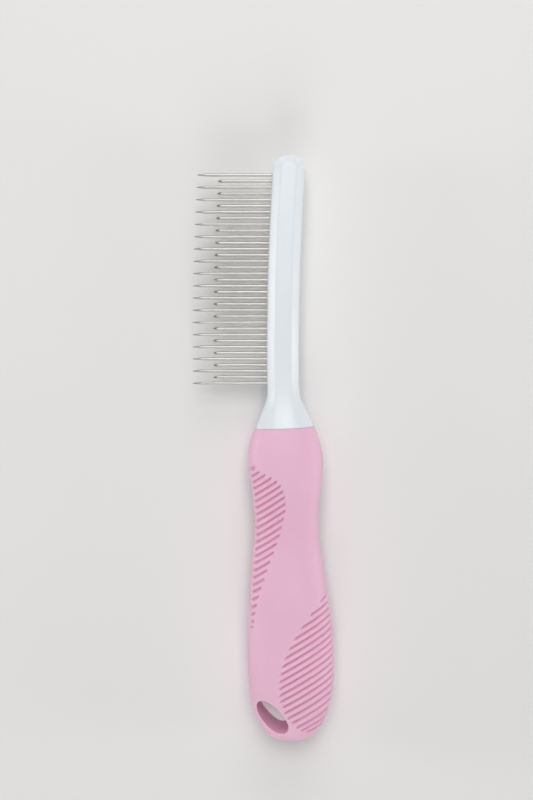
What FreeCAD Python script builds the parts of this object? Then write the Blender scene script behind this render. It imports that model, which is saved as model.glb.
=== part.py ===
import FreeCAD, Part
import math
import os

import Sketcher
from FreeCAD import Placement, Rotation, Vector

# Grooming comb: a white moulded spine carries one row of steel pins, long and short by turns,
# and its tang runs down inside a soft over-moulded grip with a hang hole through its butt.
#
# Working frame of every shape below: x runs from the tip of the spine to the butt of the grip,
# y runs from the tooth side to the back, and z runs from the back face to the front face, with
# z = 0 on the mould's parting plane. Each finished piece is then placed so that the origin lies
# at the bottom centre of the whole comb.

doc = FreeCAD.newDocument("GroomingComb")


# ---------------------------------------------------------------- driving dimensions, mm and degrees

SIZES = [
    ("overall_length", 215.2, "tip of the spine to butt of the grip"),
    ("width_shift", 0.86, "sideways step that centres the comb on the origin"),
    ("spine_axis", 6.03, "y of the straight part of the spine's centre line"),
    ("spine_width", 11.68, "across the spine, seen from the front"),
    ("spine_thickness", 9.5, "front face to back face"),
    ("spine_shoulder", 2.9, "bevel on each side of the flat faces"),
    ("spine_edge_radius", 0.8, "softening of the bevels"),
    ("bow_start", 66.0, "from the tip to where the spine starts to bow"),
    ("bow_radius", 890.0, "radius of the bowed centre line"),
    ("spine_end", 90.0, "from the tip to the end of the straight moulding, inside the neck"),
    ("seam_from_tip", 98.45, "from the tip to the joint line between spine and grip"),
    ("seam_tilt", 2.2, "lean of the joint line"),
    ("long_count", 18, "long pins"),
    ("short_count", 17, "short pins, one between each two long ones"),
    ("first_tooth", 7.16, "from the tip to the first long pin"),
    ("tooth_spacing", 2.214, "from one pin to the next"),
    ("pin_diameter", 1.05, "steel wire"),
    ("long_reach", 27.1, "length of a long pin outside the spine"),
    ("short_reach", 19.5, "length of a short pin outside the spine"),
    ("long_taper", 3.2, "length of a long pin's tapered point"),
    ("short_taper", 1.7, "length of a short pin's tapered point"),
    ("point_radius", 0.2, "blunting of the points"),
    ("root_depth", 7.0, "length of pin held in the spine"),
    ("root_groove_width", 0.8, "retaining groove round each root"),
    ("root_groove_depth", 0.14, "depth of the retaining groove"),
    ("root_groove_from_end", 2.2, "from the pin's inner end to its groove"),
    ("section_power", 2.5, "squareness of the handle's oval section"),
    ("butt_start", 185.0, "from the tip to where the handle starts to close"),
    ("butt_width_power", 2.4, "roundness of the butt, seen from the front"),
    ("butt_depth_power", 2.6, "roundness of the butt, seen from the side"),
    ("skin_thickness", 3.0, "wall of the grip over the tang"),
    ("tang_start", 93.0, "from the tip to the root of the tang"),
    ("tang_end", 192.0, "from the tip to the end of the tang"),
    ("key_count", 3, "round windows in the tang that lock the grip on"),
    ("key_first", 118.0, "from the tip to the first window"),
    ("key_spacing", 26.0, "from one window to the next"),
    ("key_diameter", 9.0, "window diameter"),
    ("hole_from_tip", 204.2, "from the tip to the middle of the hang hole"),
    ("hole_axis", 2.42, "y of the middle of the hang hole"),
    ("hole_length", 15.0, "long way across the hang hole, on the parting plane"),
    ("hole_width", 6.7, "short way across the hang hole, on the parting plane"),
    ("hole_angle", 40.5, "lean of the hang hole's long axis"),
    ("hole_fullness", 0.95, "power of the hole's oval: 1 is an ellipse, less is squarer"),
    ("hole_outer_draft", 4.6, "slope of the hole's wall on the side of the grip's edge"),
    ("hole_inner_draft", 0.5, "slope of the hole's wall on the side of the grip's middle"),
    ("hole_end_draft", 1.0, "slope of the hole's wall at its two ends"),
]

# Stations of the handle: name, distance from the tip, y of the middle, half width, half thickness.
STATIONS = [
    ("root", 80.0, 6.03, 5.30, 4.20),
    ("throat", 86.0, 6.15, 5.80, 4.65),
    ("flare", 92.5, 6.45, 8.10, 5.90),
    ("collar", 99.3, 6.70, 11.15, 7.30),
    ("shoulder", 110.5, 6.85, 13.70, 8.90),
    ("waist", 132.7, 7.35, 11.75, 8.70),
    ("palm", 158.0, 8.15, 14.20, 10.10),
    ("belly", 185.0, 9.10, 16.00, 11.00),
]

sheet = doc.addObject("Spreadsheet::Sheet", "Sizes")


def write_row(row, alias, value, note):
    """One driving dimension: its note, its value and the alias that the model uses."""
    sheet.set("A%d" % row, note)
    sheet.set("B%d" % row, str(value))
    sheet.setAlias("B%d" % row, alias)


for row, (alias, value, note) in enumerate(SIZES, start=1):
    write_row(row, alias, value, note)

row = len(SIZES) + 1
for name, *numbers in STATIONS:
    for part_of_name, value in zip(("place", "middle", "half_width", "half_depth"), numbers):
        write_row(row, "%s_%s" % (name, part_of_name), value, "handle section: " + name)
        row += 1
doc.recompute()


def size(alias):
    """A driving dimension as a plain number."""
    return float(getattr(sheet, alias))


def bind(target, **expressions):
    """Tie properties of a document object to the sheet; two underscores stand for a dot."""
    for prop, expression in expressions.items():
        target.setExpression(prop.replace("__", "."), expression)


def place_on_comb(target):
    """Move a finished piece from the working frame to the comb's own origin."""
    bind(
        target,
        Placement__Base__x="-Sizes.overall_length / 2",
        Placement__Base__y="Sizes.width_shift",
        Placement__Base__z="Sizes.belly_half_depth",
    )


def origin_plane(body, role):
    """One of a body's own origin planes."""
    for feature in body.Origin.OriginFeatures:
        if feature.Role == role:
            return feature
    raise ValueError(role)


def new_sketch(body, name, role="XY_Plane"):
    """An empty sketch on one of the body's origin planes."""
    sketch = body.newObject("Sketcher::SketchObject", name)
    sketch.AttachmentSupport = [(origin_plane(body, role), "")]
    sketch.MapMode = "FlatFace"
    return sketch


def named_size(sketch, constraint, name, expression):
    """Add a dimension to a sketch and tie it to the sheet."""
    index = sketch.addConstraint(constraint)
    sketch.renameConstraint(index, name)
    sketch.setExpression("Constraints." + name, expression)


def boolean(kind, name, **links):
    """A Part boolean of existing objects."""
    result = doc.addObject(kind, name)
    for prop, value in links.items():
        setattr(result, prop, value)
    return result


# ---------------------------------------------------------------- spine blank

def spine_centre(from_tip):
    """y of the spine's centre line: straight, then a gentle arc towards the tip."""
    reach = max(size("bow_start") - from_tip, 0.0)
    radius = size("bow_radius")
    return size("spine_axis") + radius - math.sqrt(radius ** 2 - reach ** 2)


def make_spine_blank():
    """The bar that carries the pins: a bowed outline, padded both ways and bevelled all round."""
    body = doc.addObject("PartDesign::Body", "spine_blank")
    sketch = new_sketch(body, "spine_outline")
    half = size("spine_width") / 2
    radius = size("bow_radius")
    start = size("bow_start")
    axis = size("spine_axis")
    end = size("spine_end")
    turn = math.asin((start - half) / radius)
    hub = Vector(start, axis + radius, 0)
    tip = Vector(half, spine_centre(half), 0)
    down = -math.pi / 2
    up = math.pi / 2
    z_axis = Vector(0, 0, 1)
    tooth_line = Part.LineSegment(Vector(end, axis - half, 0), Vector(start, axis - half, 0))
    tooth_bow = Part.ArcOfCircle(Part.Circle(hub, z_axis, radius + half), down - turn, down)
    cap = Part.ArcOfCircle(Part.Circle(tip, z_axis, half), up - turn, up - turn + math.pi)
    back_bow = Part.ArcOfCircle(Part.Circle(hub, z_axis, radius - half), down - turn, down)
    back_line = Part.LineSegment(Vector(start, axis + half, 0), Vector(end, axis + half, 0))
    end_line = Part.LineSegment(Vector(end, axis + half, 0), Vector(end, axis - half, 0))
    sketch.addGeometry([tooth_line, tooth_bow, cap, back_bow, back_line, end_line], False)
    for constraint in (
        Sketcher.Constraint("Tangent", 0, 2, 1, 2),
        Sketcher.Constraint("Tangent", 1, 1, 2, 2),
        Sketcher.Constraint("Tangent", 2, 1, 3, 1),
        Sketcher.Constraint("Tangent", 3, 2, 4, 1),
        Sketcher.Constraint("Coincident", 4, 2, 5, 1),
        Sketcher.Constraint("Coincident", 5, 2, 0, 1),
        Sketcher.Constraint("Horizontal", 0),
        Sketcher.Constraint("Horizontal", 4),
        Sketcher.Constraint("Vertical", 5),
    ):
        sketch.addConstraint(constraint)
    named_size(sketch, Sketcher.Constraint("DistanceY", 5, 2, 5, 1, 2 * half), "width", "Sizes.spine_width")
    named_size(sketch, Sketcher.Constraint("Radius", 3, radius - half), "bow",
               "Sizes.bow_radius - Sizes.spine_width / 2")
    named_size(sketch, Sketcher.Constraint("DistanceX", -1, 1, 2, 3, half), "cap_place",
               "Sizes.spine_width / 2")
    named_size(sketch, Sketcher.Constraint("DistanceX", -1, 1, 3, 3, start), "bow_place", "Sizes.bow_start")
    named_size(sketch, Sketcher.Constraint("DistanceX", -1, 1, 5, 1, end), "end_place", "Sizes.spine_end")
    named_size(sketch, Sketcher.Constraint("DistanceY", -1, 1, 5, 2, axis - half), "tooth_edge",
               "Sizes.spine_axis - Sizes.spine_width / 2")
    doc.recompute()

    pad = body.newObject("PartDesign::Pad", "spine_pad")
    pad.Profile = sketch
    pad.Midplane = True
    bind(pad, Length="Sizes.spine_thickness")
    doc.recompute()

    # The rim edges of both flat faces, all but the one at the neck, take the bevel.
    face_height = size("spine_thickness") / 2
    rim = []
    for index, edge in enumerate(pad.Shape.Edges, start=1):
        box = edge.BoundBox
        flat = box.ZLength < 1e-4 and abs(abs(box.ZMin) - face_height) < 1e-4
        at_neck = box.XMin > end - 1e-4
        if flat and not at_neck:
            rim.append("Edge%d" % index)
    bevel = body.newObject("PartDesign::Chamfer", "spine_bevel")
    bevel.Base = (pad, rim)
    bind(bevel, Size="Sizes.spine_shoulder")
    doc.recompute()

    # Every lengthwise edge of the bevels is softened.
    soft = []
    for index, edge in enumerate(bevel.Shape.Edges, start=1):
        box = edge.BoundBox
        level = box.ZLength < 1e-4
        at_neck = box.XMin > end - 1e-4
        if level and not at_neck:
            soft.append("Edge%d" % index)
    rounding = body.newObject("PartDesign::Fillet", "spine_rounding")
    rounding.Base = (bevel, soft)
    bind(rounding, Radius="Sizes.spine_edge_radius")
    doc.recompute()
    return body


# ---------------------------------------------------------------- handle surface

def curve_through(points):
    """A smooth open curve through points whose x rises."""
    curve = Part.BSplineCurve()
    curve.interpolate([Vector(*point) for point in points])
    return curve


def value_at(curve, x):
    """The height of such a curve at x."""
    low = curve.FirstParameter
    high = curve.LastParameter
    for _ in range(40):
        middle = (low + high) / 2
        if curve.value(middle).x < x:
            low = middle
        else:
            high = middle
    return curve.value((low + high) / 2).y


def station_curve(quantity):
    """A sheet quantity of the handle's stations as a smooth curve over the distance from the tip."""
    return curve_through(
        [(size(name + "_place"), size("%s_%s" % (name, quantity)), 0) for name, *_ in STATIONS]
    )


MIDDLE = station_curve("middle")
HALF_WIDTH = station_curve("half_width")
HALF_DEPTH = station_curve("half_depth")


def handle_section(x, inset=0.0):
    """Middle, half width and half depth of the handle at x, less an inset all round."""
    butt = size("butt_start")
    if x <= butt:
        sizes = (value_at(MIDDLE, x), value_at(HALF_WIDTH, x), value_at(HALF_DEPTH, x))
        return sizes[0], sizes[1] - inset, sizes[2] - inset
    run = size("overall_length") - inset - butt
    share = min((x - butt) / run, 1.0)
    width = (1 - share ** size("butt_width_power")) ** (1 / size("butt_width_power"))
    depth = (1 - share ** size("butt_depth_power")) ** (1 / size("butt_depth_power"))
    half_width = (size("belly_half_width") - inset) * width
    half_depth = (size("belly_half_depth") - inset) * depth
    return size("belly_middle"), half_width, half_depth


def section_wire(x, inset=0.0, points=16):
    """One closed oval section of the handle, square to x."""
    middle, half_width, half_depth = handle_section(x, inset)
    power = 2 / size("section_power")
    ring = []
    for step in range(points):
        angle = 2 * math.pi * step / points
        cosine = math.cos(angle)
        sine = math.sin(angle)
        y = middle + half_width * math.copysign(abs(cosine) ** power, cosine)
        z = half_depth * math.copysign(abs(sine) ** power, sine)
        ring.append(Vector(x, y, z))
    curve = Part.BSplineCurve()
    curve.interpolate(Points=ring, PeriodicFlag=True)
    return Part.Wire([curve.toShape()])


def handle_form(name, start, end, inset=0.0, spacing=9.0):
    """A solid skinned over sections from start to end; near the butt the sections crowd together."""
    butt = size("butt_start")
    last = size("overall_length") - inset
    straight_end = min(end, butt)
    count = max(int(round((straight_end - start) / spacing)), 2)
    places = [start + (straight_end - start) * step / count for step in range(count + 1)]
    if end > butt:
        closing_steps = 9
        closing_share = 0.985
        for step in range(1, closing_steps + 1):
            places.append(butt + (last - butt) * math.sin(math.pi / 2 * closing_share * step / closing_steps))
        places = [place for place in places if place <= end]
    form = doc.addObject("Part::Feature", name)
    form.Shape = Part.makeLoft([section_wire(place, inset) for place in places], True, False)
    return form


# ---------------------------------------------------------------- spine with neck and tang

spine_blank = make_spine_blank()
outer_form = handle_form("outer_form", size("root_place"), size("overall_length"))

# Everything behind this tilted block's front face belongs to the grip.
grip_zone = doc.addObject("Part::Box", "grip_zone")
bind(
    grip_zone,
    Length="Sizes.overall_length",
    Width="Sizes.belly_half_width * 6",
    Height="Sizes.belly_half_depth * 4",
    Placement__Base__x="Sizes.seam_from_tip + sin(Sizes.seam_tilt) * Sizes.belly_half_width * 3",
    Placement__Base__y="Sizes.collar_middle - Sizes.belly_half_width * 3",
    Placement__Base__z="-Sizes.belly_half_depth * 2",
)
grip_zone.Placement.Rotation = Rotation(Vector(0, 0, 1), size("seam_tilt"))

neck = boolean("Part::Cut", "neck", Base=outer_form, Tool=grip_zone)
tang_form = handle_form("tang_form", size("tang_start"), size("tang_end"), size("skin_thickness"))

keys = []
for number in range(int(size("key_count"))):
    key = doc.addObject("Part::Cylinder", "key_window_%d" % (number + 1))
    place = "(Sizes.key_first + %d * Sizes.key_spacing)" % number
    bind(
        key,
        Radius="Sizes.key_diameter / 2",
        Height="Sizes.belly_half_depth * 4",
        Placement__Base__x=place,
        Placement__Base__z="-Sizes.belly_half_depth * 2",
    )
    key.Placement.Base.y = value_at(MIDDLE, size("key_first") + number * size("key_spacing"))
    keys.append(key)
key_windows = boolean("Part::MultiFuse", "key_windows", Shapes=keys)
tang = boolean("Part::Cut", "tang", Base=tang_form, Tool=key_windows)
spine_solid = boolean("Part::MultiFuse", "spine_solid", Shapes=[spine_blank, neck, tang])
place_on_comb(spine_solid)
doc.recompute()


# ---------------------------------------------------------------- steel pins

def make_tooth(name, number_along, reach, taper):
    """One pin: a turned wire with a retaining groove at its root and a tapered, blunted point."""
    body = doc.addObject("PartDesign::Body", name)
    sketch = new_sketch(body, name + "_profile")
    radius = size("pin_diameter") / 2
    blunt = size("point_radius")
    neck_radius = radius - size("root_groove_depth")
    groove_low = size("root_groove_from_end")
    groove_high = groove_low + size("root_groove_width")
    length = size("root_depth") + size(reach)
    shoulder = length - size(taper)
    corners = [
        (0, 0), (radius, 0), (radius, groove_low), (neck_radius, groove_low),
        (neck_radius, groove_high), (radius, groove_high), (radius, shoulder), (blunt, length - blunt),
    ]
    points = [Vector(across, along, 0) for across, along in corners]
    lines = [Part.LineSegment(first, second) for first, second in zip(points, points[1:])]
    point = Part.ArcOfCircle(Part.Circle(Vector(0, length - blunt, 0), Vector(0, 0, 1), blunt), 0, math.pi / 2)
    axis_line = Part.LineSegment(Vector(0, length, 0), Vector(0, 0, 0))
    sketch.addGeometry(lines + [point, axis_line], False)
    arc = len(lines)
    axis = arc + 1
    for index in range(arc):
        sketch.addConstraint(Sketcher.Constraint("Coincident", index, 2, index + 1, 1))
    sketch.addConstraint(Sketcher.Constraint("Coincident", arc, 2, axis, 1))
    sketch.addConstraint(Sketcher.Constraint("Coincident", axis, 2, 0, 1))
    sketch.addConstraint(Sketcher.Constraint("Coincident", 0, 1, -1, 1))
    sketch.addConstraint(Sketcher.Constraint("Vertical", axis))
    sketch.addConstraint(Sketcher.Constraint("PointOnObject", arc, 3, axis))
    for level in (0, 2, 4):
        sketch.addConstraint(Sketcher.Constraint("Horizontal", level))
    for upright in (1, 3, 5):
        sketch.addConstraint(Sketcher.Constraint("Vertical", upright))
    named_size(sketch, Sketcher.Constraint("DistanceX", 0, 1, 0, 2, radius), "wire", "Sizes.pin_diameter / 2")
    named_size(sketch, Sketcher.Constraint("DistanceY", 1, 1, 1, 2, groove_low), "groove_place",
               "Sizes.root_groove_from_end")
    named_size(sketch, Sketcher.Constraint("DistanceX", 2, 2, 2, 1, radius - neck_radius), "groove_step",
               "Sizes.root_groove_depth")
    named_size(sketch, Sketcher.Constraint("DistanceY", 3, 1, 3, 2, groove_high - groove_low), "groove_width",
               "Sizes.root_groove_width")
    sketch.addConstraint(Sketcher.Constraint("Equal", 2, 4))
    named_size(sketch, Sketcher.Constraint("DistanceY", 0, 1, arc, 2, length), "whole",
               "Sizes.root_depth + Sizes.%s" % reach)
    named_size(sketch, Sketcher.Constraint("DistanceY", 5, 2, arc, 2, length - shoulder), "taper",
               "Sizes.%s" % taper)
    named_size(sketch, Sketcher.Constraint("Radius", arc, blunt), "blunting", "Sizes.point_radius")
    sketch.addConstraint(Sketcher.Constraint("Horizontal", arc, 3, arc, 1))

    turned = body.newObject("PartDesign::Revolution", name + "_turned")
    turned.Profile = sketch
    turned.ReferenceAxis = (sketch, ["V_Axis"])
    turned.Angle = 360.0

    # The pin points to the tooth side; its root lies root_depth inside the spine's bowed edge.
    from_tip = "(Sizes.first_tooth + %d * Sizes.tooth_spacing)" % number_along
    bow = "sqrt(Sizes.bow_radius ^ 2 - max(Sizes.bow_start - %s; 0) ^ 2)" % from_tip
    edge = "Sizes.spine_axis + Sizes.bow_radius - %s - Sizes.spine_width / 2" % bow
    body.Placement = Placement(Vector(0, 0, 0), Rotation(Vector(0, 0, 1), 180))
    bind(
        body,
        Placement__Base__x=from_tip + " - Sizes.overall_length / 2",
        Placement__Base__y=edge + " + Sizes.root_depth + Sizes.width_shift",
        Placement__Base__z="Sizes.belly_half_depth",
    )
    return body


teeth = []
for number in range(int(size("long_count"))):
    teeth.append(make_tooth("long_tooth_%02d" % (number + 1), 2 * number, "long_reach", "long_taper"))
for number in range(int(size("short_count"))):
    teeth.append(make_tooth("short_tooth_%02d" % (number + 1), 2 * number + 1, "short_reach", "short_taper"))
doc.recompute()

# ---------------------------------------------------------------- hang hole

def make_hole_cutter():
    """The hang hole: a leaning oval that narrows to the back, mostly on its outer side."""
    front = size("belly_half_depth") + 1.0
    outer = math.tan(math.radians(size("hole_outer_draft")))
    inner = math.tan(math.radians(size("hole_inner_draft")))
    end = math.tan(math.radians(size("hole_end_draft")))
    power = size("hole_fullness")
    cutter = doc.addObject("Part::Feature", "hole_cutter")
    ring_count = 24
    wires = []
    for level in (front, -front):
        half_long = size("hole_length") / 2 + level * end
        half_short = size("hole_width") / 2 + level * (outer + inner) / 2
        middle = level * (inner - outer) / 2
        ring = []
        for step in range(ring_count):
            angle = 2 * math.pi * step / ring_count
            cosine = math.cos(angle)
            sine = math.sin(angle)
            along = half_long * math.copysign(abs(cosine) ** power, cosine)
            across = middle + half_short * math.copysign(abs(sine) ** power, sine)
            ring.append(Vector(along, across, level))
        curve = Part.BSplineCurve()
        curve.interpolate(Points=ring, PeriodicFlag=True)
        wires.append(Part.Wire([curve.toShape()]))
    cutter.Shape = Part.makeLoft(wires, True, True)
    cutter.Placement = Placement(
        Vector(size("hole_from_tip"), size("hole_axis"), 0),
        Rotation(Vector(0, 0, 1), size("hole_angle")),
    )
    return cutter


hole_cutter = make_hole_cutter()


# ---------------------------------------------------------------- finished pieces

grip_outside = boolean("Part::Common", "grip_outside", Base=outer_form, Tool=grip_zone)
grip_shell = boolean("Part::Cut", "grip_shell", Base=grip_outside, Tool=tang)
grip = boolean("Part::Cut", "grip_sleeve", Base=grip_shell, Tool=hole_cutter)
place_on_comb(grip)

pins = boolean("Part::Compound", "all_pins", Links=teeth)
spine = boolean("Part::Cut", "comb_spine", Base=spine_solid, Tool=pins)
doc.recompute()


# ---------------------------------------------------------------- checks and files

for item in doc.Objects:
    if {"Invalid", "Error"} & set(item.State):
        raise RuntimeError("%s failed: %s" % (item.Name, item.State))

os.makedirs("parts", exist_ok=True)
for piece in [spine, grip] + teeth:
    shape = piece.Shape
    if shape.isNull() or not shape.isValid() or len(shape.Solids) != 1:
        raise RuntimeError(piece.Label + " isn't one valid solid")
    shape.exportStep(os.path.join("parts", piece.Label + ".step"))
    print("%-16s %9.1f mm3" % (piece.Label, shape.Volume))
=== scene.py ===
import math

import bmesh
import bpy
import numpy as np
from mathutils import Matrix, Vector
from mathutils.geometry import delaunay_2d_cdt


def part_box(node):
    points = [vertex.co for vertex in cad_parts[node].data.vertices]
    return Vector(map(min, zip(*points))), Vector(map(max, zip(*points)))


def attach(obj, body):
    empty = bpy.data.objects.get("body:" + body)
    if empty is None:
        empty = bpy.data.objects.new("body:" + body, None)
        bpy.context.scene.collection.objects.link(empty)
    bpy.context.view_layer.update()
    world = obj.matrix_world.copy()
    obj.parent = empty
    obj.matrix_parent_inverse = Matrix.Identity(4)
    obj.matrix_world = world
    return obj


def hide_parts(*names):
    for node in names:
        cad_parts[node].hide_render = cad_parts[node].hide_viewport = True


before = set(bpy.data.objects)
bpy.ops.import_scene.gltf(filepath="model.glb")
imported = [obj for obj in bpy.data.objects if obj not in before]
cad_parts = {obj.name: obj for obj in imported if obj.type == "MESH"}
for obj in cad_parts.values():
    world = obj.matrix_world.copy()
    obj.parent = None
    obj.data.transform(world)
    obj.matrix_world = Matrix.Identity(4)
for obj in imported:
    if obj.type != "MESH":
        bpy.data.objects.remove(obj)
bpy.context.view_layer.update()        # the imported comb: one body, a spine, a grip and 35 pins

# Grooming comb. The visible meshes are made in millimetres in the comb's own layout: x runs from
# the tip of the spine to the butt of the grip, y from the pins' side to the back, and z from the
# parting plane to the front face. TO_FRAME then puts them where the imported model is, in metres.
# A side of the plan is -1 for the pins' side and 1 for the back; a face is 1 for the front face
# and -1 for the rear one.

MM = 0.001


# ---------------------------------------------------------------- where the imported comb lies

spine_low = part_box("comb_spine")[0]
grip_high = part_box("grip_sleeve")[1]
last_low, last_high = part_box("long_tooth_18")

LENGTH = (grip_high.x - spine_low.x) / MM
PIN_AXIS_Z = (last_low.z + last_high.z) / 2 / MM
ROOT_DEPTH = 7.0                # length of each pin held inside the spine
SPINE_HALF = 5.84               # half the width of the straight part of the spine
SPINE_AXIS = 6.03               # y of the straight part of the spine's centre line
TOOTH_EDGE = SPINE_AXIS - SPINE_HALF
Y_SHIFT = last_high.y / MM - ROOT_DEPTH - TOOTH_EDGE
TO_FRAME = Matrix.Translation((spine_low.x, Y_SHIFT * MM, PIN_AXIS_Z * MM)) @ Matrix.Scale(MM, 4)


# ---------------------------------------------------------------- curves and searches

HALVINGS = 40                   # of a stretch, when the end of a run of points is looked for


def spline(points):
    """A natural cubic through (x, value) points, as a function that takes arrays."""
    xs, ys = (np.array(column, float) for column in zip(*points))
    step = np.diff(xs)
    slope = np.diff(ys) / step
    rows = len(xs)
    system = np.eye(rows)
    right = np.zeros(rows)
    for i in range(1, rows - 1):
        system[i, i - 1:i + 2] = step[i - 1], 2 * (step[i - 1] + step[i]), step[i]
        right[i] = 6 * (slope[i] - slope[i - 1])
    bend = np.linalg.solve(system, right)

    def value(x):
        x = np.asarray(x, float)
        i = np.clip(np.searchsorted(xs, x) - 1, 0, rows - 2)
        a = (xs[i + 1] - x) / step[i]
        b = (x - xs[i]) / step[i]
        curve = (a ** 3 - a) * bend[i] + (b ** 3 - b) * bend[i + 1]
        return a * ys[i] + b * ys[i + 1] + curve * step[i] ** 2 / 6

    return value


def smoothstep(low, high, x):
    """0 below low, 1 above high, and an even ramp between them."""
    t = np.clip((np.asarray(x, float) - low) / (high - low), 0, 1)
    return t * t * (3 - 2 * t)


def last_inside(test, inside, outside):
    """The end of the stretch that starts at inside and meets the test, found by halving."""
    for _ in range(HALVINGS):
        half = (inside + outside) / 2
        if test(half):
            inside = half
        else:
            outside = half
    return inside


# ---------------------------------------------------------------- camera

DISTANCE = 500.0                # from the lens to the comb's parting plane
LEAN = math.radians(4.0)        # the lens stands this far off square, towards the tip
SCALE = 0.365                   # millimetres to one picture dot at that distance
AIM_X = 88.54                   # the point that the lens looks at, in the comb's layout
AIM_Y = 0.0
LONG_SIDE_DOTS = 800
SENSOR_WIDTH = 36.0
CLIP_NEAR, CLIP_FAR = 0.01, 20.0        # metres


def make_camera():
    data = bpy.data.cameras.new("camera")
    data.sensor_width = SENSOR_WIDTH
    data.lens = DISTANCE / SCALE * SENSOR_WIDTH / LONG_SIDE_DOTS
    data.clip_start = CLIP_NEAR
    data.clip_end = CLIP_FAR
    camera = bpy.data.objects.new("camera", data)
    bpy.context.collection.objects.link(camera)
    aim = TO_FRAME @ Vector((AIM_X, AIM_Y, 0))
    back = Vector((-math.sin(LEAN), 0, math.cos(LEAN)))
    up = Vector((-math.cos(LEAN), 0, -math.sin(LEAN)))
    right = Vector((0, 1, 0))
    turn = Matrix((right, up, back)).transposed().to_4x4()
    camera.matrix_world = Matrix.Translation(aim + back * DISTANCE * MM) @ turn
    bpy.context.scene.camera = camera


make_camera()


# ---------------------------------------------------------------- shape of neck and grip

STRAIGHT_END = 60.0             # up to here the handle's sizes are those of the straight spine
SPINE_DEPTH = 4.75              # half the spine's thickness
HALF_WIDTH = spline([
    (60.0, SPINE_HALF), (72.0, SPINE_HALF), (83.0, SPINE_HALF), (87.5, 6.15), (93.0, 8.35),
    (99.3, 11.15), (104.0, 12.75), (110.5, 13.70), (121.0, 12.75), (132.7, 11.75),
    (145.0, 12.65), (158.0, 14.20), (171.0, 15.50), (185.0, 16.00),
])
HALF_DEPTH = spline([
    (60.0, SPINE_DEPTH), (80.0, SPINE_DEPTH), (92.5, 5.90), (99.3, 7.30), (110.5, 8.90),
    (132.7, 8.70), (158.0, 10.10), (185.0, 11.00),
])
MIDDLE = spline([
    (60.0, SPINE_AXIS), (80.0, SPINE_AXIS), (92.5, 6.45), (104.0, 6.76), (121.0, 7.25),
    (140.0, 7.45), (158.0, 8.15), (171.0, 8.80), (185.0, 9.10),
])
BUTT_START = 185.0              # from here the grip closes
BUTT_WIDTH_POWER = 2.4
BUTT_DEPTH_POWER = 2.6
SECTION_POWER = 2.5             # squareness of the oval section
SEAM = 98.45                    # joint line between spine and grip, on the centre line
LATTICE_Y = 8.0                 # y at which the slanted rows of the grip's mesh are numbered


def handle_sizes(x):
    """Middle, half width and half depth of the handle at x."""
    x = np.asarray(x, float)
    straight = np.minimum(x, BUTT_START)
    share = np.clip((x - BUTT_START) / (LENGTH - BUTT_START), 0, 1)
    width = (1 - share ** BUTT_WIDTH_POWER) ** (1 / BUTT_WIDTH_POWER)
    depth = (1 - share ** BUTT_DEPTH_POWER) ** (1 / BUTT_DEPTH_POWER)
    return MIDDLE(straight), HALF_WIDTH(straight) * width, HALF_DEPTH(straight) * depth


def face_height(x, y):
    """z of the front face above a point of the plan; 0 outside the outline."""
    middle, width, depth = handle_sizes(x)
    across = np.abs(np.asarray(y) - middle) / np.maximum(width, 1e-9)
    return depth * np.clip(1 - across ** SECTION_POWER, 0, None) ** (1 / SECTION_POWER)


def outward(x, y, z):
    """The handle surface's unit normals at points on or just under it."""
    def level(x_value):
        middle, width, depth = handle_sizes(x_value)
        across = np.abs(y - middle) / np.maximum(width, 1e-6)
        return across ** SECTION_POWER + (np.abs(z) / np.maximum(depth, 1e-6)) ** SECTION_POWER

    middle, width, depth = handle_sizes(x)
    width = np.maximum(width, 1e-6)
    depth = np.maximum(depth, 1e-6)
    nudge = 0.02
    ahead = np.minimum(x + nudge, LENGTH - 1e-3)
    behind = ahead - 2 * nudge
    along = (level(ahead) - level(behind)) / (2 * nudge)
    offset = (y - middle) / width
    across = SECTION_POWER * np.abs(offset) ** (SECTION_POWER - 1) * np.sign(offset) / width
    upright = SECTION_POWER * (np.abs(z) / depth) ** (SECTION_POWER - 1) * np.sign(z) / depth
    normal = np.stack([along, across, upright], -1)
    return normal / np.maximum(np.linalg.norm(normal, axis=-1, keepdims=True), 1e-9)


# ---------------------------------------------------------------- finger grooves

GROOVE_PITCH = 2.545            # between grooves, where they cross the line y = LATTICE_Y
FIRST_GROOVE = 104.7            # the first one's crossing
GROOVE_DEPTH = 0.75
GROOVE_FLAT = 0.30              # half width of the groove's floor
GROOVE_LIP = 0.62               # half width where the groove meets the face
SHORT_GROOVE_SHARE = 0.88       # share of the full depth of a groove with no length
SHARE_PER_MM = 0.1              # and how much each millimetre of length adds

# The last grooves fan out round the hang hole: (groove number, step from the even pitch).
FAN_AT = [37, 39, 41, 42, 43, 44]
FAN_STEP = [0.0, 0.25, 0.6, 0.1, -0.7, -1.6]

# Slope of the grooves and of the mesh rows, over their crossing of LATTICE_Y.
SLOPE_AT = [SEAM, 104.0, 138.0, 160.0, 168.0, 200.0, 209.0, 213.0, 219.0]
SLOPE = [0.04, 0.68, 0.665, 0.74, 0.59, 0.575, 0.55, 0.46, 0.45]

# How far each groove reaches across the face: (groove number, y of its inner end).
TOOTH_PATCH = spline([
    (0, -4.7), (1, -3.2), (3, 1.35), (6, 5.7), (8.5, 6.5), (11, 5.15), (17, -1.4),
    (20, -4.15), (23, -5.55),
])
BACK_PATCH = spline([
    (25, 20.2), (27, 13.1), (30, 7.3), (33.5, 5.1), (38, 7.25), (41, 11.4), (43, 15.2),
])
TOOTH_GROOVES = range(0, 24)
BACK_GROOVES = range(25, 44)
TOOTH_RIM = 0.92                # the grooves stop at this share of the half width
BACK_RIM = 0.93

# The tooth side's grooves start a little early, and some of them stand closer together.
TOOTH_START = -0.12
CLOSING_FROM = 11               # the last groove at the full pitch
CLOSING_COUNT = 7               # the closer ones after it
CLOSING_STEP = 0.048            # share of the pitch that each of them gives up


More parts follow.
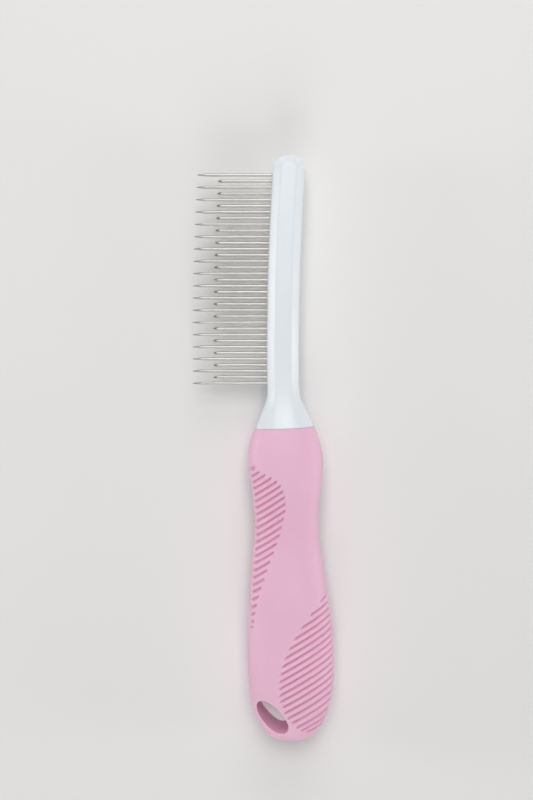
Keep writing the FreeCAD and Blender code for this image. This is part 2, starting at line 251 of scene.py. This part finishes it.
def crossing(number):
    """Where a groove, or a fraction of one, crosses LATTICE_Y."""
    number = np.asarray(number, float)
    return FIRST_GROOVE + GROOVE_PITCH * number + np.interp(number, FAN_AT, FAN_STEP)


def tooth_place(number):
    """The crossing number of a groove on the tooth side."""
    closed = min(max(number - CLOSING_FROM, 0), CLOSING_COUNT)
    return number + TOOTH_START - CLOSING_STEP * closed


# On the back side the first rows would run into the seam, so they bend to stay clear of it.
BEND_END = 118.0
BACK_REACH = 13.0


def row_x(crossing_x, y):
    """x along the row that crosses LATTICE_Y at crossing_x."""
    across = np.asarray(y, float) - LATTICE_Y
    slope = np.interp(crossing_x, SLOPE_AT, SLOPE)
    straight = crossing_x - slope * across
    at_seam = SEAM - SLOPE[0] * BACK_REACH
    at_end = BEND_END - np.interp(BEND_END, SLOPE_AT, SLOPE) * BACK_REACH
    share = np.clip((crossing_x - SEAM) / (BEND_END - SEAM), 0, 1)
    wanted = at_seam + (at_end - at_seam) * share
    lift = np.where(crossing_x < BEND_END, wanted - (crossing_x - slope * BACK_REACH), 0)
    return straight + lift * (np.clip(across, 0, None) / BACK_REACH) ** 2


def patch_relief(x, y, crossing_x, side, rim, inner_ends, places):
    """Depth of one patch of grooves at points of the plan; places gives each groove's number."""
    stretch = np.sqrt(1 + np.interp(crossing_x, SLOPE_AT, SLOPE) ** 2)
    middle, width, _ = handle_sizes(x)
    edge = middle + side * rim * width
    depth = np.zeros_like(x)
    for number, place in places:
        away = (crossing_x - crossing(place)) / stretch
        inner = inner_ends(number)
        beyond = np.maximum(side * (inner - y), side * (y - edge)) * stretch
        reach = np.hypot(away, np.clip(beyond, 0, None))
        share = np.clip(SHORT_GROOVE_SHARE + SHARE_PER_MM * side * (edge - inner), 0, 1)
        cut = share * GROOVE_DEPTH * (1 - smoothstep(GROOVE_FLAT, GROOVE_LIP, reach))
        depth = np.maximum(depth, cut)
    return depth


def groove_relief(x, y, crossing_x):
    """Depth of the engraved grooves at points of the plan."""
    tooth = [(number, tooth_place(number)) for number in TOOTH_GROOVES]
    back = [(number, number) for number in BACK_GROOVES]
    return np.maximum(
        patch_relief(x, y, crossing_x, -1, TOOTH_RIM, TOOTH_PATCH, tooth),
        patch_relief(x, y, crossing_x, 1, BACK_RIM, BACK_PATCH, back),
    )


# ---------------------------------------------------------------- hang hole

HOLE_X, HOLE_Y = 204.2, 2.42
HOLE_TURN = math.radians(40.5)
HOLE_HALF_LONG, HOLE_HALF_SHORT = 7.5, 3.35
HOLE_POWER = 0.95
HOLE_OUTER, HOLE_INNER, HOLE_END = np.tan(np.radians([4.6, 0.5, 1.0]))   # slopes of its wall
HOLE_RIM = 0.45                 # radius of the rounded rims
HOLE_STEPS = 120
RIM_LEVEL = 8.0                 # height of the faces round the hole, above the parting plane
RIM_STEPS = 10
WALL_STEPS = 22
GAP = 0.25                      # between a rim and the first points left on the face
FILL_EPSILON = 1e-7             # nearness at which the fill round the hole sees one point


def hole_loop(level, offset=0.0):
    """Plan points round the hole at height level, pushed outwards by offset."""
    angle = np.linspace(0, 2 * math.pi, HOLE_STEPS, endpoint=False)
    cosine, sine = np.cos(angle), np.sin(angle)
    half_long = HOLE_HALF_LONG + level * HOLE_END
    half_short = HOLE_HALF_SHORT + level * (HOLE_OUTER + HOLE_INNER) / 2
    middle = level * (HOLE_INNER - HOLE_OUTER) / 2
    along = half_long * np.sign(cosine) * np.abs(cosine) ** HOLE_POWER
    across = middle + half_short * np.sign(sine) * np.abs(sine) ** HOLE_POWER
    points = np.stack([along, across], -1)
    ahead = np.roll(points, -1, axis=0) - np.roll(points, 1, axis=0)
    ahead /= np.linalg.norm(ahead, axis=1, keepdims=True)
    along = along + offset * ahead[:, 1]
    across = across - offset * ahead[:, 0]
    c, s = math.cos(HOLE_TURN), math.sin(HOLE_TURN)
    return HOLE_X + along * c - across * s, HOLE_Y + along * s + across * c


def inside_loop(x, y, loop_x, loop_y):
    """Which points of the plan lie inside a closed loop."""
    inside = np.zeros(x.shape, bool)
    for x1, y1, x2, y2 in zip(loop_x, loop_y, np.roll(loop_x, -1), np.roll(loop_y, -1)):
        if y1 != y2:
            crossed = ((y1 > y) != (y2 > y)) & (x < (x2 - x1) * (y - y1) / (y2 - y1) + x1)
            inside ^= crossed
    return inside


def rim_loops(face):
    """Closed loops from a face over the hole's rounded rim."""
    loops = []
    for step in range(RIM_STEPS + 1):
        angle = math.pi / 2 * step / RIM_STEPS
        x, y = hole_loop(face * RIM_LEVEL, HOLE_RIM * (1 - math.sin(angle)))
        height = face_height(x, y) - HOLE_RIM * (1 - math.cos(angle))
        loops.append(np.stack([x, y, face * height], -1))
    return loops


def hole_rows():
    """Closed loops over the front rim, down the wall, and out over the rear rim."""
    front, rear = rim_loops(1), rim_loops(-1)
    fall = rear[-1] - front[-1]
    wall = [front[-1] + fall * step / WALL_STEPS for step in range(1, WALL_STEPS)]
    return front + wall + rear[::-1]


# ---------------------------------------------------------------- mesh helpers

MERGE_DISTANCE = 0.001          # points nearer than this become one


def show(name, mesh, work, node_names, material):
    """Shows worked-out geometry as a piece in the frame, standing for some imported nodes."""
    work.transform(TO_FRAME)
    bmesh.ops.recalc_face_normals(work, faces=work.faces)
    work.to_mesh(mesh)
    work.free()
    mesh.polygons.foreach_set("use_smooth", [True] * len(mesh.polygons))
    piece = bpy.data.objects.new(name, mesh)
    bpy.context.collection.objects.link(piece)
    mesh.materials.append(material)
    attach(piece, "root")
    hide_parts(*node_names)


def build_piece(name, points, faces, node_names, material):
    """A piece from a closed mesh whose collapsed rings are merged to single points."""
    mesh = bpy.data.meshes.new(name)
    mesh.from_pydata(points.tolist(), [], faces)
    mesh.validate()
    work = bmesh.new()
    work.from_mesh(mesh)
    bmesh.ops.remove_doubles(work, verts=work.verts, dist=MERGE_DISTANCE)
    show(name, mesh, work, node_names, material)


def ring_faces(rings, size, closed=True):
    """Quads between rings of the same number of vertices, numbered ring after ring."""
    faces = []
    last = size if closed else size - 1
    for start in range(0, (rings - 1) * size, size):
        for i in range(last):
            j = (i + 1) % size
            faces.append((start + i, start + j, start + size + j, start + size + i))
    return faces


# ---------------------------------------------------------------- materials

COLOR_A, COLOR_B, COLOR_OUT = 6, 7, 2   # the colour sockets of a Mix node
NOISE_LOW, NOISE_HIGH = 0.3, 0.7        # the range that most of a noise's values lie in


def node_material(name):
    """A new node material: its tree, its Principled shader and a function that adds nodes."""
    material = bpy.data.materials.new(name)
    material.use_nodes = True
    tree = material.node_tree

    def add(kind, **inputs):
        node = tree.nodes.new(kind)
        for key, value in inputs.items():
            node.inputs[key.replace("_", " ")].default_value = value
        return node

    return material, tree, tree.nodes["Principled BSDF"], add


def object_noise(tree, add, scale, detail=2.0, stretch=(1, 1, 1)):
    """Noise laid through the object's own space, stretched along its axes."""
    place = add("ShaderNodeTexCoord")
    mapping = add("ShaderNodeMapping", Scale=stretch)
    noise = add("ShaderNodeTexNoise", Scale=scale, Detail=detail)
    tree.links.new(place.outputs["Object"], mapping.inputs["Vector"])
    tree.links.new(mapping.outputs["Vector"], noise.inputs["Vector"])
    return noise.outputs["Fac"]


def ramp(tree, add, source, low, high):
    """Maps a noise's middle range to low..high."""
    mapper = add("ShaderNodeMapRange", From_Min=NOISE_LOW, From_Max=NOISE_HIGH, To_Min=low, To_Max=high)
    tree.links.new(source, mapper.inputs["Value"])
    return mapper.outputs["Result"]


def cloud_color(tree, add, noise, first, second):
    """A colour that drifts between two with a noise."""
    mix = add("ShaderNodeMix")
    mix.data_type = "RGBA"
    mix.inputs[COLOR_A].default_value = (*first, 1)
    mix.inputs[COLOR_B].default_value = (*second, 1)
    tree.links.new(ramp(tree, add, noise, 0, 1), mix.inputs[0])
    return mix.outputs[COLOR_OUT]


def rough_and_bumpy(tree, add, shader, smudge, roughness, grain, strength, height):
    """Uneven roughness between two values, and a fine raised grain."""
    tree.links.new(ramp(tree, add, smudge, *roughness), shader.inputs["Roughness"])
    bump = add("ShaderNodeBump", Strength=strength, Distance=height)
    tree.links.new(grain, bump.inputs["Height"])
    tree.links.new(bump.outputs["Normal"], shader.inputs["Normal"])


def set_inner_glow(shader, ior, weight, radius, scale):
    """Refraction, and the light that a milky plastic spreads under its skin."""
    shader.inputs["IOR"].default_value = ior
    shader.inputs["Subsurface Weight"].default_value = weight
    shader.inputs["Subsurface Radius"].default_value = radius
    shader.inputs["Subsurface Scale"].default_value = scale


def make_spine_plastic():
    """Glossy moulded plastic, white with a slight blue tint, faintly uneven."""
    material, tree, shader, add = node_material("spine_plastic")
    cloud = object_noise(tree, add, 60.0)
    color = cloud_color(tree, add, cloud, (0.77, 0.81, 0.85), (0.785, 0.825, 0.86))
    tree.links.new(color, shader.inputs["Base Color"])
    smudge = object_noise(tree, add, 220.0, 4.0)
    ripple = object_noise(tree, add, 900.0, 3.0)
    rough_and_bumpy(tree, add, shader, smudge, (0.29, 0.33), ripple, strength=0.02, height=0.00005)
    set_inner_glow(shader, ior=1.49, weight=0.15, radius=(0.9, 0.95, 1.0), scale=0.001)
    return material


def make_grip_rubber():
    """Satin soft-touch moulding in pale pink with a fine eroded grain; painted shade turns the grooves a
    deeper pink.
    """
    material, tree, shader, add = node_material("grip_rubber")
    cloud = object_noise(tree, add, 45.0)
    color = cloud_color(tree, add, cloud, (0.80, 0.485, 0.63), (0.83, 0.515, 0.66))
    # Painted shade: the colour shifts to a deeper, darker pink with each point's share of the groove
    # depth.
    groove_shade = add("ShaderNodeAttribute")
    groove_shade.attribute_name = "groove_shade"
    groove_shade_mix = add("ShaderNodeMix")
    groove_shade_mix.data_type = "RGBA"
    groove_shade_mix.inputs[COLOR_B].default_value = (0.77, 0.39, 0.54, 1)
    tree.links.new(groove_shade.outputs["Fac"], groove_shade_mix.inputs[0])
    tree.links.new(color, groove_shade_mix.inputs[COLOR_A])
    tree.links.new(groove_shade_mix.outputs[COLOR_OUT], shader.inputs["Base Color"])
    smudge = object_noise(tree, add, 160.0, 4.0)
    grain = object_noise(tree, add, 5200.0, 2.0)
    rough_and_bumpy(tree, add, shader, smudge, (0.46, 0.58), grain, strength=0.12, height=0.0001)
    set_inner_glow(shader, ior=1.47, weight=0.3, radius=(1.0, 0.5, 0.65), scale=0.0016)
    return material


def make_pin_steel():
    """Polished steel wire with faint drawing lines along it."""
    material, tree, shader, add = node_material("pin_steel")
    lines = object_noise(tree, add, 12000.0, 2.0, (1, 0.01, 1))
    color = cloud_color(tree, add, lines, (0.36, 0.35, 0.33), (0.41, 0.40, 0.38))
    tree.links.new(color, shader.inputs["Base Color"])
    tree.links.new(ramp(tree, add, lines, 0.30, 0.35), shader.inputs["Roughness"])
    shader.inputs["Metallic"].default_value = 1.0
    return material


SPINE_PLASTIC = make_spine_plastic()
GRIP_RUBBER = make_grip_rubber()
PIN_STEEL = make_pin_steel()


# ---------------------------------------------------------------- grip

ROWS_PER_GROOVE = 12
AROUND = 168                    # points round each row, half of them on each face
FIRST_ROW_GAP = 0.1             # from the seam to where the evenly spaced rows may start
LAST_CROSSING_NUMBER = 43.6     # after this the rows crowd up to the butt's last point
CLOSING_ROWS = 26
BUTT_REACH = 12.0               # no row that starts this far on touches the butt
SEAM_BREAK = 0.18               # rounding of the grip's edge at the joint line
CHORD_REACH = 22.0              # every row ends within this of LATTICE_Y
CHORD_POINTS = 1761


def chord(crossing_x):
    """The stretch of y over which a row lies inside the handle's outline, or None."""
    y, step = np.linspace(LATTICE_Y - CHORD_REACH, LATTICE_Y + CHORD_REACH, CHORD_POINTS, retstep=True)

    def within(values):
        x = row_x(crossing_x, values)
        middle, width, _ = handle_sizes(x)
        return (np.abs(values - middle) < width) & (x < LENGTH)

    hits = np.flatnonzero(within(y))
    if len(hits) < 2:
        return None
    low, high = y[hits[0]], y[hits[-1]]
    return last_inside(within, low, low - step), last_inside(within, high, high + step)


def row_points(crossing_x):
    """A closed row: across the front face, then back across the rear face."""
    half = AROUND // 2
    angle = np.pi * np.arange(half + 1) / half
    low, high = chord(crossing_x)
    y = (low + high) / 2 - (high - low) / 2 * np.cos(angle)
    x = row_x(crossing_x, y)
    z = face_height(x, y)
    z[0] = z[-1] = 0
    x = np.concatenate([x, x[-2:0:-1]])
    y = np.concatenate([y, y[-2:0:-1]])
    z = np.concatenate([z, -z[-2:0:-1]])
    return np.stack([x, y, z], -1)


def row_crossings():
    """Crossings of the rows: the seam, evenly spaced rows, and rows that crowd to the butt."""
    first = math.ceil((SEAM + FIRST_ROW_GAP - FIRST_GROOVE) / GROOVE_PITCH * ROWS_PER_GROOVE)
    last = int(LAST_CROSSING_NUMBER * ROWS_PER_GROOVE)
    even = [float(crossing(k / ROWS_PER_GROOVE)) for k in range(first, last + 1)]
    start = crossing(LAST_CROSSING_NUMBER)
    end = last_inside(lambda x: chord(x) is not None, start, start + BUTT_REACH)
    closing = []
    for step in range(1, CLOSING_ROWS):
        share = 1 - (1 - step / CLOSING_ROWS) ** 2
        closing.append(even[-1] + (end - even[-1]) * share)
    return [SEAM] + even + closing


def make_grip_skin():
    """Slanted rows of points that follow the grooves, with ragged gaps for the hang hole.

    Gives the points, the faces and each point's share of the full groove depth, which also sets the
    painted shade in the grooves.
    """
    crossings = row_crossings()
    rows = [row_points(crossing_x) for crossing_x in crossings]
    points = np.concatenate(rows)
    x, y, z = points.T
    relief = groove_relief(x, y, np.repeat(crossings, AROUND))
    edge = np.zeros(len(points))
    edge[:AROUND] = SEAM_BREAK
    edge[AROUND:2 * AROUND] = SEAM_BREAK / 4
    points = points - outward(x, y, z) * (relief + edge)[:, None]

    # The seam end is closed by a flat face, and the butt by a fan to its last point.
    faces = ring_faces(len(rows), AROUND)
    faces.append(tuple(range(AROUND)))
    tip = len(points)
    base = tip - AROUND
    points = np.vstack([points, rows[-1].mean(0) * [1, 1, 0]])
    faces += [(base + i, base + (i + 1) % AROUND, tip) for i in range(AROUND)]

    # Faces near the hang hole are taken out, leaving gaps a little wider than its rims.
    for face in (1, -1):
        loop_x, loop_y = hole_loop(face * RIM_LEVEL, HOLE_RIM + GAP)
        gone = inside_loop(points[:, 0], points[:, 1], loop_x, loop_y) & (face * points[:, 2] > 0)
        faces = [corners for corners in faces if not any(gone[i] for i in corners)]
    return points, faces, np.append(relief / GROOVE_DEPTH, 0.0)


def fill_between(work, edges):
    """Triangles between a ragged edge loop and the smooth one inside it, laid out on the plan."""
    corners = list(dict.fromkeys(vertex for edge in edges for vertex in edge.verts))
    number = {vertex: i for i, vertex in enumerate(corners)}
    segments = [(number[edge.verts[0]], number[edge.verts[1]]) for edge in edges]
    result = delaunay_2d_cdt([Vector(vertex.co.xy) for vertex in corners], segments, [], 0, FILL_EPSILON)
    origin = [source[0] for source in result[3]]

    # The ragged loop has long straight runs, so slivers outside it are told apart in full precision.
    plan = np.array([tuple(vertex.co.xy) for vertex in corners], float)
    first = np.array([plan[a] for a, b in segments])
    second = np.array([plan[b] for a, b in segments])
    rise = second[:, 1] - first[:, 1]
    rise[rise == 0] = 1e-12
    for triangle in result[2]:
        x, y = plan[[origin[i] for i in triangle]].mean(0)
        spans = (first[:, 1] > y) != (second[:, 1] > y)
        ahead = x < first[:, 0] + (second[:, 0] - first[:, 0]) * (y - first[:, 1]) / rise
        if np.count_nonzero(spans & ahead) % 2:
            work.faces.new([corners[origin[i]] for i in triangle])


def build_grip():
    """The soft grip, with the hang hole's wall and rims let into its skin."""
    points, faces, groove_shade = make_grip_skin()
    mesh = bpy.data.meshes.new("grip_skin")
    mesh.from_pydata(points.tolist(), [], faces)
    # Each point's share of the groove depth, kept for the painted shade in the grooves.
    mesh.attributes.new("groove_shade", "FLOAT", "POINT")
    mesh.attributes["groove_shade"].data.foreach_set("value", groove_shade)
    work = bmesh.new()
    work.from_mesh(mesh)
    bmesh.ops.delete(work, geom=[v for v in work.verts if not v.link_faces], context="VERTS")
    ragged = [edge for edge in work.edges if len(edge.link_faces) == 1]

    rings = [[work.verts.new(tuple(point)) for point in loop] for loop in hole_rows()]
    for upper, lower in zip(rings, rings[1:]):
        for i in range(HOLE_STEPS):
            j = (i + 1) % HOLE_STEPS
            work.faces.new((upper[i], upper[j], lower[j], lower[i]))
    for face, ring in ((1, rings[0]), (-1, rings[-1])):
        gap = [edge for edge in ragged if face * edge.verts[0].co.z > 0]
        rim = [work.edges.get((ring[i], ring[(i + 1) % HOLE_STEPS])) for i in range(HOLE_STEPS)]
        fill_between(work, gap + rim)
    show("grip_skin", mesh, work, ["grip_sleeve"], GRIP_RUBBER)


build_grip()


# ---------------------------------------------------------------- spine and neck

SHOULDER = 2.9                  # bevel beside the flat panel of each face
PANEL_ROUNDING = 1.6            # radius between the panel and the bevel
SIDE_ROUNDING = 1.9             # radius between the bevel and the side
ROUNDING_STEPS = 8
PANEL_STEPS = 6                 # parts that the flat panel's half is cut into
BOW_START = 66.0
BOW_RADIUS = 890.0
NECK_START = 84.0               # from here the bevelled section turns into the oval one
NECK_END = 97.0
SPINE_STATIONS = 60
NECK_STATIONS = 46
TIP_STEPS = 48


def spine_centre(x):
    """y of the spine's centre line: straight, then a gentle arc towards the tip."""
    reach = np.clip(BOW_START - np.asarray(x, float), 0, None)
    return SPINE_AXIS + BOW_RADIUS - np.sqrt(BOW_RADIUS ** 2 - reach ** 2)


def rounded_path(corners, radii):
    """An open path through corners, each rounded by its radius."""
    points = [np.array(corners[0], float)]
    for before, corner, after, radius in zip(corners, corners[1:], corners[2:], radii):
        corner = np.array(corner, float)
        into = np.array(before, float) - corner
        out = np.array(after, float) - corner
        into /= np.linalg.norm(into)
        out /= np.linalg.norm(out)
        half = math.acos(np.clip(into @ out, -1, 1)) / 2
        back = radius / math.tan(half)
        centre = corner + (into + out) / np.linalg.norm(into + out) * radius / math.sin(half)
        first = corner + into * back - centre
        last = corner + out * back - centre
        turn = (math.pi - 2 * half) * np.sign(first[0] * last[1] - first[1] * last[0])
        for step in range(ROUNDING_STEPS + 1):
            angle = turn * step / ROUNDING_STEPS
            c, s = math.cos(angle), math.sin(angle)
            points.append(centre + np.array([c * first[0] - s * first[1], s * first[0] + c * first[1]]))
    points.append(np.array(corners[-1], float))
    return np.array(points)


def spine_profile():
    """Half section of the spine: (out from the centre line, z), from the front panel to the rear."""
    w, d, b = SPINE_HALF, SPINE_DEPTH, SHOULDER
    path = rounded_path(
        [(0, d), (w - b, d), (w, d - b), (w, b - d), (w - b, -d), (0, -d)],
        [PANEL_ROUNDING, SIDE_ROUNDING, SIDE_ROUNDING, PANEL_ROUNDING],
    )
    shares = np.arange(1, PANEL_STEPS) / PANEL_STEPS
    front = [path[0] + (path[1] - path[0]) * share for share in shares]
    rear = [path[-2] + (path[-1] - path[-2]) * share for share in shares]
    return np.array([path[0], *front, *path[1:-1], *rear, path[-1]])


def oval_profile(angle):
    """Half section of the handle's oval for unit width and depth."""
    power = 2 / SECTION_POWER
    sine, cosine = np.sin(angle), np.cos(angle)
    return np.stack([np.abs(sine) ** power, np.sign(cosine) * np.abs(cosine) ** power], -1)


PROFILE = spine_profile()
UNIT_PROFILE = PROFILE / [SPINE_HALF, SPINE_DEPTH]
UNIT_OVAL = oval_profile(np.arctan2(*UNIT_PROFILE.T))


def bow_lean(x):
    """How far the bow turns the spine's sections at x."""
    return math.asin(max(BOW_START - x, 0) / BOW_RADIUS)


def spine_section(x, side):
    """One half section at x; its outward direction leans with the bow."""
    oval_share = smoothstep(NECK_START, NECK_END, x)
    middle, width, depth = (float(value) for value in handle_sizes(max(x, STRAIGHT_END)))
    shape = ((1 - oval_share) * UNIT_PROFILE + oval_share * UNIT_OVAL) * [width, depth]
    lean = bow_lean(x)
    section_x = x + shape[:, 0] * side * math.sin(lean)
    section_y = spine_centre(x) + middle - SPINE_AXIS + shape[:, 0] * side * math.cos(lean)
    seam_slope = SLOPE[0] * smoothstep(NECK_START, SEAM, x)
    section_x = section_x - seam_slope * (section_y - LATTICE_Y)
    return np.stack([section_x, section_y, shape[:, 1]], -1)


def tip_section(turn):
    """One half section turned about the middle of the spine's round tip."""
    direction = -math.pi / 2 - bow_lean(SPINE_HALF) - turn
    return np.stack([
        SPINE_HALF + PROFILE[:, 0] * math.cos(direction),
        spine_centre(SPINE_HALF) + PROFILE[:, 0] * math.sin(direction),
        PROFILE[:, 1],
    ], -1)


def build_spine():
    """A half section carried along the tooth side, round the tip and back along the other side."""
    places = np.concatenate([
        np.linspace(SPINE_HALF, NECK_START, SPINE_STATIONS)[:-1],
        np.linspace(NECK_START, SEAM, NECK_STATIONS),
    ])
    rows = [spine_section(x, -1) for x in places[::-1]]
    rows += [tip_section(turn) for turn in np.linspace(0, math.pi, TIP_STEPS + 1)[1:-1]]
    rows += [spine_section(x, 1) for x in places]
    for row in (rows[0], rows[-1]):
        row[:, 1] += np.sign(LATTICE_Y - row[:, 1]) * SEAM_BREAK / 2
    points = np.concatenate(rows)
    size = len(PROFILE)
    faces = ring_faces(len(rows), size, closed=False)
    faces.append((*range(size), *range(len(points) - 1, len(points) - size - 1, -1)))
    build_piece("spine_moulding", points, faces, ["comb_spine"], SPINE_PLASTIC)


build_spine()


# ---------------------------------------------------------------- steel pins

PIN_RADIUS = 0.525
PIN_END_BREAK = 0.05            # blunting of the wire's inner end
POINT_RADIUS = 0.17
LONG_TAPER, LONG_FULLNESS = 3.2, 1.35
SHORT_TAPER, SHORT_FULLNESS = 1.7, 2.2
PIN_SIDES = 24
TAPER_STEPS = 14
POINT_STEPS = 5
RING_BEFORE_FACE = 1.0          # plain rings of the wire on both sides of the spine's face
RING_PAST_FACE = 0.5


def pin_profile(length, taper, fullness):
    """(distance from the root, radius) along a pin with a rounded, tapered point."""
    profile = [
        (0, 0),
        (0, PIN_RADIUS - PIN_END_BREAK),
        (PIN_END_BREAK, PIN_RADIUS),
        (ROOT_DEPTH - RING_BEFORE_FACE, PIN_RADIUS),
        (ROOT_DEPTH + RING_PAST_FACE, PIN_RADIUS),
    ]
    for step in range(TAPER_STEPS + 1):
        share = step / TAPER_STEPS
        radius = POINT_RADIUS + (PIN_RADIUS - POINT_RADIUS) * (1 - share ** fullness)
        profile.append((length - taper + (taper - POINT_RADIUS) * share, radius))
    for step in range(1, POINT_STEPS + 1):
        angle = math.pi / 2 * step / POINT_STEPS
        rise, radius = POINT_RADIUS * math.sin(angle), POINT_RADIUS * math.cos(angle)
        profile.append((length - POINT_RADIUS + rise, radius))
    return profile


def build_pin(node, taper, fullness):
    """One lathe-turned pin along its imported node."""
    low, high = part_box(node)
    centre_x = (low.x + high.x) / 2 / MM - spine_low.x / MM
    root_y = high.y / MM - Y_SHIFT
    profile = pin_profile((high.y - low.y) / MM, taper, fullness)
    angle = 2 * math.pi * np.arange(PIN_SIDES) / PIN_SIDES
    rows = []
    for along, radius in profile:
        y = np.full(PIN_SIDES, root_y - along)
        rows.append(np.stack([centre_x + radius * np.cos(angle), y, radius * np.sin(angle)], -1))
    faces = ring_faces(len(rows), PIN_SIDES)
    build_piece("pin_" + node, np.concatenate(rows), faces, [node], PIN_STEEL)


for node in sorted(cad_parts):
    if node.startswith("long_tooth"):
        build_pin(node, LONG_TAPER, LONG_FULLNESS)
    elif node.startswith("short_tooth"):
        build_pin(node, SHORT_TAPER, SHORT_FULLNESS)


# ---------------------------------------------------------------- studio

FLOOR_HALF = 3.0
FLOOR_ROUGHNESS = 0.7
WORLD_STRENGTH = 0.21

# Square soft lights that point at the comb: name, place, side and power, in metres and watts.
LIGHTS = [
    ("key", (-0.55, 0.0, 1.2), 0.7, 8.2),
    ("fill", (1.15, 0.0, 0.6), 0.7, 6.0),
    ("back_fill", (-1.15, 0.1, 0.6), 0.7, 4.0),
    ("left_strip", (-0.1, -1.1, 0.18), 0.25, 2.9),
    ("right_strip", (0.1, 1.1, 0.17), 0.25, 2.6),
]


def make_floor():
    """A wide pale floor under the comb."""
    mesh = bpy.data.meshes.new("floor")
    corners = [(-1, -1), (1, -1), (1, 1), (-1, 1)]
    mesh.from_pydata([(x * FLOOR_HALF, y * FLOOR_HALF, 0) for x, y in corners], [], [(0, 1, 2, 3)])
    floor = bpy.data.objects.new("floor", mesh)
    bpy.context.collection.objects.link(floor)
    material, tree, shader, add = node_material("pale_floor")
    cloud = object_noise(tree, add, 3.0)
    color = cloud_color(tree, add, cloud, (0.80, 0.79, 0.78), (0.82, 0.81, 0.80))
    tree.links.new(color, shader.inputs["Base Color"])
    shader.inputs["Roughness"].default_value = FLOOR_ROUGHNESS
    mesh.materials.append(material)


def make_light(name, place, side, power):
    """One square soft light that points at the comb."""
    data = bpy.data.lights.new(name, "AREA")
    data.shape = "SQUARE"
    data.size = side
    data.energy = power
    light = bpy.data.objects.new(name, data)
    bpy.context.collection.objects.link(light)
    light.location = place
    light.rotation_mode = "QUATERNION"
    light.rotation_quaternion = (-Vector(place)).to_track_quat("-Z", "Y")


def make_world():
    """Even white light from all round, and plain colours without a film look."""
    world = bpy.data.worlds.new("studio")
    world.use_nodes = True
    background = world.node_tree.nodes["Background"]
    background.inputs["Color"].default_value = (1, 1, 1, 1)
    background.inputs["Strength"].default_value = WORLD_STRENGTH
    bpy.context.scene.world = world
    bpy.context.scene.view_settings.view_transform = "Standard"


make_floor()
for light_row in LIGHTS:
    make_light(*light_row)
make_world()
